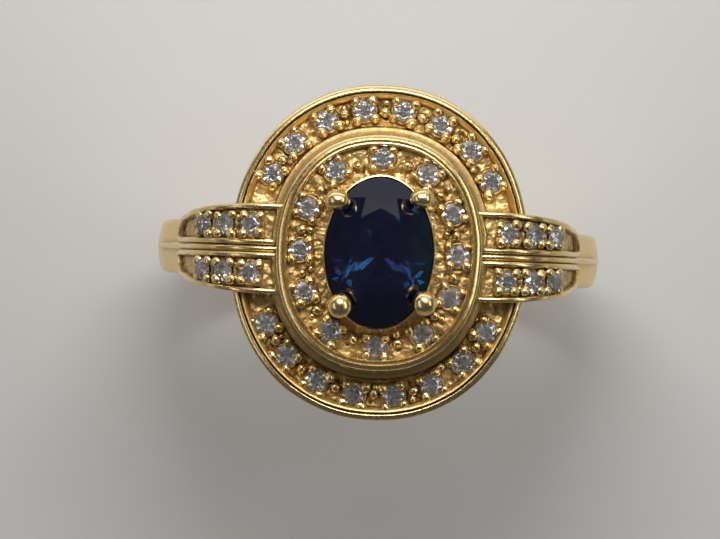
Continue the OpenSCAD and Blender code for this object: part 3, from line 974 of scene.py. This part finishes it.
def bar_surface(s_grid, y_grid, stones, seed):
    """A bar's heights, darkness and share of wire: a raised wire round a rough panel with stones, and
    painted shade along their seam.
    """
    roughness_share, wire_drop, wire_wave = 0.7, 0.07, 0.015
    seam_shade, seam_at, seam_w = 0.6, 1.08, 0.16
    sy = np.stack([s_grid.ravel(), y_grid.ravel()], axis=1)
    flat = np.column_stack([sy, np.full(len(sy), float(seed))])
    level = -PANEL_DROP - TRENCH * roughness_share
    panel, dark = rough_surface(flat, level, (0.05, 0.3), (0.025, 0.12), 0.45, seed)
    panel, dark = sink_seats(sy, panel, dark, stones, pits_between(stones, False), -PANEL_DROP)
    wire_w = 0.26 + 0.035 * clouds(flat, 0.9, seed + 3)
    inset = inset_from_edge(s_grid, y_grid) / wire_w
    across_wire = np.clip(inset, 0, 1)
    wire = -wire_drop * np.abs(2 * across_wire - 1) ** 3 + wire_wave * clouds(flat, 0.8, seed + 4)
    on_panel = smooth(0.88, 1.12, inset)
    # Painted shade: a dark line along the seam between the wire and the panel.
    dark = dark * on_panel + seam_shade * np.exp(-(((inset - seam_at) / seam_w) ** 2))
    return blend(wire, panel, on_panel), dark, 1 - on_panel


def bar_grains(stones, place):
    """A bar's grains; place turns a length, a width and a height on it into a point of the ring."""

    def upright(s, y):
        return (place(s, y, 1.0) - place(s, y, 0.0)).normalized()

    beyond, level, sizes, stretches = (0.02, 0.08), 0.14, (0.85, 1.05), (1, 1.2)
    spare_chance, spare_lifts, spare_shift = 0.6, (-0.3, 0.32), 0.05
    spare_drop, spare_radii, spare_spin, spare_stretch = 0.2, (0.12, 0.17), 0.4, 1.15
    shells = []
    for s, y in stones:
        for i in range(4):
            a = radians(45 + 90 * i) + rng.uniform(-GRAIN_TURN, GRAIN_TURN)
            reach = MELEE_R + rng.uniform(*beyond)
            gs, gy = s + reach * cos(a), y + reach * sin(a)
            where = place(gs, gy, rng.uniform(0, 0.03) - level)
            radius = GRAIN_R * rng.uniform(*sizes)
            shells.append(grain(where, radius, upright(gs, gy), a, rng.uniform(*stretches)))
    for (s0, y0), (s1, y1) in zip(stones, stones[1:]):
        for lift in spare_lifts:
            if rng.random() < spare_chance:
                gs = (s0 + s1) / 2 + rng.uniform(-spare_shift, spare_shift)
                gy = (y0 + y1) / 2 + lift
                where = place(gs, gy, -spare_drop)
                radius = rng.uniform(*spare_radii)
                shells.append(grain(where, radius, upright(gs, gy), spare_spin, spare_stretch))
    return shells


def bar(side, row, stones):
    """One stone-set bar: a raised loop round a sunk rough panel, rounded to a leaf-like tip.

    stones holds each stone's length and width on it.
    """
    x_sign, y_sign = SIDES[side], ROWS[row]
    seed = 21 + x_sign + 3 * y_sign
    below, thinning = 0.12, 3

    def place(s, y, h):
        x, z, a = on_path(max(s, 0.0))
        return Vector((x_sign * (x + min(s, 0.0) + h * sin(a)), y_sign * y, z + h * cos(a)))

    s_grid, y_grid = bar_grid()
    height, dark, on_wire = bar_surface(s_grid, y_grid, stones, seed)
    height, dark, on_wire = (values.reshape(s_grid.shape) for values in (height, dark, on_wire))
    points, recess = [], []
    for i in range(BAR_ALONG):
        for j in range(BAR_ACROSS):
            points.append(place(s_grid[i, j], y_grid[i, j], height[i, j]))
            recess.append(float(dark[i, j]))
        for j in (BAR_ACROSS - 1, 0):
            thinner = smooth(PATH_FLAT + thinning, PATH_LENGTH, s_grid[i, j])
            sink = BAR_H + below - (BAR_H - BAR_END_T) * thinner
            points.append(place(s_grid[i, j], y_grid[i, j], -float(sink)))
            recess.append(0.0)
    ring = BAR_ACROSS + 2
    faces = capped_tube_faces(BAR_ALONG, ring, x_sign * y_sign < 0)
    points, faces, recess = join_shells([(points, faces, recess)] + bar_grains(stones, place))
    indices = []
    for i in range(BAR_ALONG - 1):
        for j in range(ring):
            bright = j >= BAR_ACROSS - 1 or on_wire[i, j] > 0.5
            indices.append(1 if bright else 0)
    indices += [1] * (len(faces) - len(indices))
    name = f"{side}_{row}_shoulder_bar"
    add_piece(name + "_set", points, faces, [ROUGH, BRIGHT], [name], 50, recess, indices)


def rib_stations():
    """Sections of the right rib as (x, z, normal's angle, half width, depth): along the bars, then
    thinning out and sinking into the band.
    """
    steps, tail_steps, tail_end = 120, 26, radians(94)
    first_depth, depth_loss, tail_depth = 0.7, 0.3, 0.35
    tail_thinning, sinking = 0.6, 1.5
    half = RIB_W / 2
    stations = []
    for i in range(steps):
        x, z, a = on_path(PATH_LENGTH * i / (steps - 1))
        stations.append((x, z, a, half, first_depth - depth_loss * i / (steps - 1)))
    x_end, z_end, a_end = on_path(PATH_LENGTH)
    angle_end = atan2(x_end, z_end)
    r_end = hypot(x_end, z_end)
    for i in range(1, tail_steps):
        f = i / (tail_steps - 1)
        angle = angle_end + (tail_end - angle_end) * f
        above = (1 - f) ** sinking
        r = r_end * above + (BAND_R + STEP) * (1 - above)
        lean = a_end + (angle - a_end) * min(1, 2 * f)
        thin = half * (1 - tail_thinning * f)
        stations.append((r * sin(angle), r * cos(angle), lean, thin, tail_depth))
    return stations


def rib(side):
    """The rounded rib between two bars, with its tail down the band."""
    sign = SIDES[side]
    half_round = [(cos(a), sin(a)) for a in np.radians(np.linspace(0, 180, 11))]
    stations = rib_stations()
    points = []
    for x, z, a, half, depth in stations:
        section = [(half * c, half * s - RIB_DROP - half) for c, s in half_round]
        section += [(-half, -depth), (half, -depth)]
        for y, h in section:
            points.append(Vector((sign * (x + h * sin(a)), y, z + h * cos(a))))
    points = unevenness(points, amount=0.01, size=1.2, seed=9 + sign)
    faces = capped_tube_faces(len(stations), len(half_round) + 2, sign < 0)
    name = f"{side}_shoulder_rib"
    add_piece(name + "_round", points, faces, [BRIGHT], [name], 50)


def band_outline():
    """Distance of the band's outer face from the finger hole's centre, by angle from +Z."""
    between = 12
    line = [(0.0, BACK - STEP), (OUTER[0] - 0.2, BACK - STEP)]
    first = asin((OUTER[0] - BEND_X) / BASE_R)
    for a in np.linspace(first, BASE_END, 40):
        line.append((BEND_X + BASE_R * sin(a), BEND_Z + BASE_R * cos(a)))
    for a in np.linspace(BASE_END, pi, 200):
        line.append((BAND_R * sin(a), BAND_R * cos(a)))
    fine = []
    for (x0, z0), (x1, z1) in zip(line, line[1:]):
        for f in np.linspace(0, 1, between, endpoint=False):
            fine.append((x0 + (x1 - x0) * f, z0 + (z1 - z0) * f))
    fine.append(line[-1])
    angles = [atan2(x, z) for x, z in fine]
    radii = [hypot(x, z) for x, z in fine]
    order = np.argsort(angles)
    return np.array(angles)[order], np.array(radii)[order]


def band_section(half_in, half_out, outer, crown, edge):
    """One section of the band as (y, radius): eased inside, rounded edges and a crowned outside.

    It runs from the finger hole out, across, and back in on the other side.
    """
    ease = 0.22
    corner = np.radians(np.linspace(0, 90, 7))
    half = []
    for c in corner:
        half.append((half_in - ease * (1 - sin(c)), FINGER_R + ease * (1 - cos(c))))
    for c in corner:
        half.append((half_out - edge * (1 - cos(c)), outer - crown - edge * (1 - sin(c))))
    across = [((half_out - edge) * f, outer - crown * f**2) for f in np.linspace(0.75, -0.75, 7)]
    return half + across + [(-y, r) for y, r in reversed(half)]


def band():
    """The band as one loft; where the bars lie on it, its outside is flat with hardly rounded edges."""
    stations = 360
    bare_crown, covered_edge, bare_edge = 0.14, 0.03, 0.3
    angles, radii = band_outline()
    points = []
    for i in range(stations):
        a = 2 * pi * i / stations
        angle = a if a <= pi else 2 * pi - a
        outer = float(np.interp(angle, angles, radii))
        bare = float(smooth(BAR_END_TURN - 0.02, BAR_END_TURN + 0.12, angle))
        half_in = band_half(FINGER_R * cos(a)) - STEP
        half_out = band_half(outer * cos(a)) - STEP
        edge = blend(covered_edge, bare_edge, bare)
        for y, r in band_section(half_in, half_out, outer, bare_crown * bare, edge):
            points.append(Vector((r * sin(a), y, r * cos(a))))
    points = unevenness(points, amount=0.015, size=2.5, seed=31)
    faces = tube_faces(stations, len(points) // stations, True)
    add_piece("finger_band", points, faces, [GOLD], ["shank"], 50)


def gallery(row):
    """The wall under the outer plate, arched over the finger, on one side of the band."""
    sign = ROWS[row]
    steps, wall_inset, wall_t, clearance = 200, 1.6, 0.55, 0.5
    first = radians(13)
    # The lower edge as (share of the wall's thickness, height), with its corners eased.
    lower_edge = ((0.0, 0.22), (0.05, 0.1), (0.2, 0.02), (0.5, 0.0), (0.8, 0.02), (0.95, 0.1), (1.0, 0.22))
    points = []
    for i in range(steps):
        t = first + (pi - 2 * first) * i / (steps - 1)
        faces_at = []
        for inset in (wall_inset, wall_inset + wall_t):
            r = float(oval_radius(grown(OUTER, -inset), OUTER_ROUND, t))
            x, y = r * cos(t), sign * r * sin(t)
            faces_at.append((x, y, sqrt((FINGER_R + clearance) ** 2 - x * x)))
        outside, inside = faces_at
        for share, lift in lower_edge:
            x, y, z = (blend(out, into, share) for out, into in zip(outside, inside))
            points.append(Vector((x, y, z + lift)))
        for x, y, _ in (inside, outside):
            points.append(Vector((x, y, BACK + STEP)))
    faces = capped_tube_faces(steps, len(lower_edge) + 2, sign < 0)
    name = "gallery_" + row
    add_piece(name + "_wall", points, faces, [GOLD], [name], 50)


# ---- building the ring

outer_stones = {row: [] for row in ROWS}
for row in ROWS:
    for i in range(1, ARC_STONES + 1):
        outer_stones[row].append(small_stone(f"{row}_arc_diamond_{i}").xy)
inner_stones = [small_stone(f"inner_halo_diamond_{i}").xy for i in range(1, INNER_STONES + 1)]
for side in SIDES:
    for row in ROWS:
        bar_stones = []
        for i in range(BAR_STONES):
            turn = BAR_STONE_TURN + BAR_STONE_STEP * i
            place = small_stone(f"{side}_{row}_bar_diamond_{i + 1}", SIDES[side] * turn)
            bar_stones.append((PATH_FLAT + BEND_R * turn, abs(place.y)))
        bar(side, row, bar_stones)
    rib(side)
outer_plate(outer_stones)
inner_plate(inner_stones)
outer_rim()
collar()
inner_rim()
collet()
centre_stone()
for row in ROWS:
    for side in SIDES:
        claw(f"{side}_{row}_claw", row)
    gallery(row)
band()


# ---- floor, light and camera

FLOOR_SIZE = 600
FLOOR_COLOUR = (0.9, 0.89, 0.87)
FLOOR_ROUGHNESS = 0.55
h = FLOOR_SIZE / 2
floor_mesh = bpy.data.meshes.new("floor")
floor_points = [(-h, -h), (h, -h), (h, h), (-h, h)]
floor_mesh.from_pydata([(x * MM, y * MM, -BAND_R * MM) for x, y in floor_points], [], [[0, 1, 2, 3]])
floor = bpy.data.objects.new("floor", floor_mesh)
bpy.context.scene.collection.objects.link(floor)
floor_material, _, _, floor_shader = new_material("pale_floor")
floor_shader.inputs["Base Color"].default_value = (*FLOOR_COLOUR, 1)
floor_shader.inputs["Roughness"].default_value = FLOOR_ROUGHNESS
floor_mesh.materials.append(floor_material)

SKY_COLOUR = (0.96, 0.98, 1.0)
SKY_STRENGTH = 0.07
world = bpy.data.worlds.new("studio")
bpy.context.scene.world = world
world.use_nodes = True
sky = world.node_tree.nodes["Background"]
sky.inputs["Color"].default_value = (*SKY_COLOUR, 1)
sky.inputs["Strength"].default_value = SKY_STRENGTH
bpy.context.scene.view_settings.view_transform = "Standard"


def softbox(name, place, aim, size, power, colour):
    """A rectangular lamp that the camera doesn't see."""
    data = bpy.data.lights.new(name, "AREA")
    data.shape = "RECTANGLE"
    data.size, data.size_y = size[0] * MM, size[1] * MM
    data.energy = power
    data.color = colour
    lamp = bpy.data.objects.new(name, data)
    lamp.visible_camera = False
    lamp.location = Vector(place) * MM
    lamp.rotation_euler = (Vector(aim) - Vector(place)).to_track_quat("-Z", "Y").to_euler()
    bpy.context.scene.collection.objects.link(lamp)


# The upper lamps stand where facets of the centre stone and bevels of gold mirror them to the camera.
HEAD = (0, 0, 12)
LOW = (0, 0, 21)
SOFT_WHITE = (1.0, 0.98, 0.95)
softbox("key", (-9, 55, 21), HEAD, (150, 18), 0.0118, (1.0, 0.99, 0.96))
softbox("panel", (0, 150, 120), (0, 0, 120), (300, 135), 0.058, (1.0, 0.97, 1.0))
softbox("near_overhead", (0, 23, 51), HEAD, (26, 12), 0.0125, SOFT_WHITE)
softbox("far_overhead", (0, 170, 400), HEAD, (380, 160), 0.11, SOFT_WHITE)
softbox("side_left", (-146, -26, 146), HEAD, (170, 35), 0.03, SOFT_WHITE)
softbox("side_right", (146, 26, 146), HEAD, (170, 35), 0.055, (0.96, 1.0, 0.97))
softbox("low_left", (-250, 0, 21), LOW, (300, 30), 0.025, SOFT_WHITE)
softbox("low_right", (250, 0, 21), LOW, (300, 30), 0.025, (0.98, 1.0, 0.98))
softbox("low_front", (0, -250, 21), LOW, (300, 30), 0.01, SOFT_WHITE)

# The camera looks straight down on the head, with the ring a little turned and off the middle.
DISTANCE = 250
VIEW_WIDTH = 33.5
SENSOR = 36
ROLL = radians(2.2)
OFFSET = (0.88, 0.77)
CLIP = (10, 3000)
camera_data = bpy.data.cameras.new("camera")
camera_data.sensor_width = SENSOR
camera_data.lens = SENSOR * DISTANCE / VIEW_WIDTH
camera_data.clip_start, camera_data.clip_end = CLIP[0] * MM, CLIP[1] * MM
camera = bpy.data.objects.new("camera", camera_data)
right = Vector((cos(ROLL), sin(ROLL), 0))
up = Vector((-sin(ROLL), cos(ROLL), 0))
eye = -OFFSET[0] * right - OFFSET[1] * up + Vector((0, 0, FACE + DISTANCE))
camera.location = eye * MM
camera.rotation_euler = (0, 0, ROLL)
bpy.context.scene.collection.objects.link(camera)
bpy.context.scene.camera = camera
